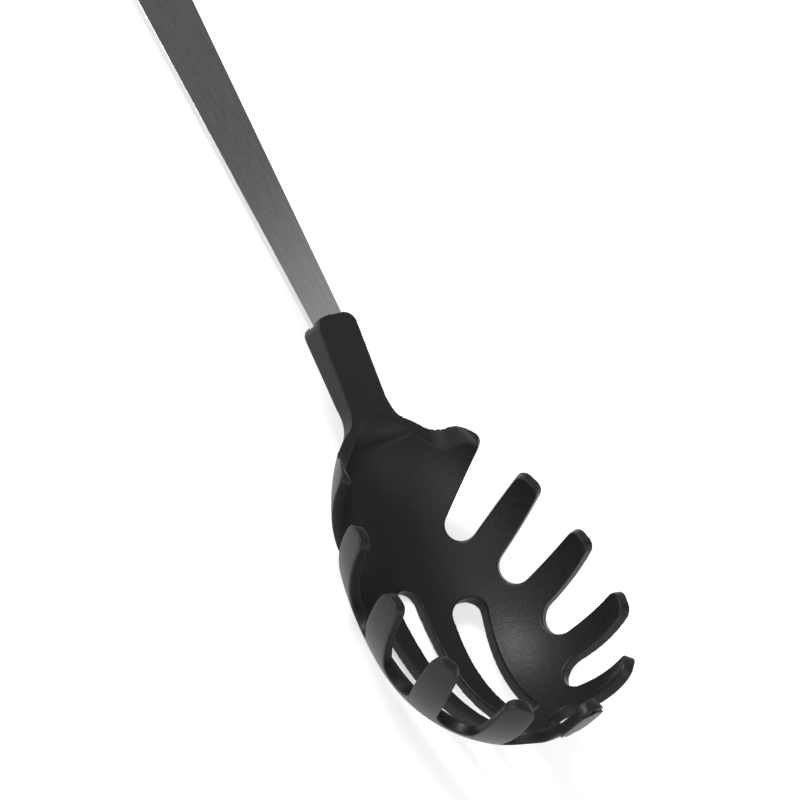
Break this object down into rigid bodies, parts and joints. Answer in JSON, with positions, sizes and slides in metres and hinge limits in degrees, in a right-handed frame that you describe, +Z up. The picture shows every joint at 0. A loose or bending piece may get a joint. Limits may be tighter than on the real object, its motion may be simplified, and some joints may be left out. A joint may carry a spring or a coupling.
{
  "type": "pasta server",
  "caption": "Long-handled kitchen tool with a slotted, toothed bowl that lifts strands of pasta out of water and lets them drain.",
  "frame": {"origin": "centre of the overall box in plan, at the height of the table it rests on", "axes": "+X along the tool from the handle's end to the bowl, +Z up as it rests, the tool's mirror plane is Y = 0"},
  "size_m": [0.3156, 0.0708, 0.0495],
  "materials": {
    "handle_steel": "brushed lengthwise, satin",
    "head_nylon": "fine moulded texture, low sheen"
  },
  "bodies": {
    "root": {"handle": "handle_steel", "head": "head_nylon"}
  },
  "joints": []
}
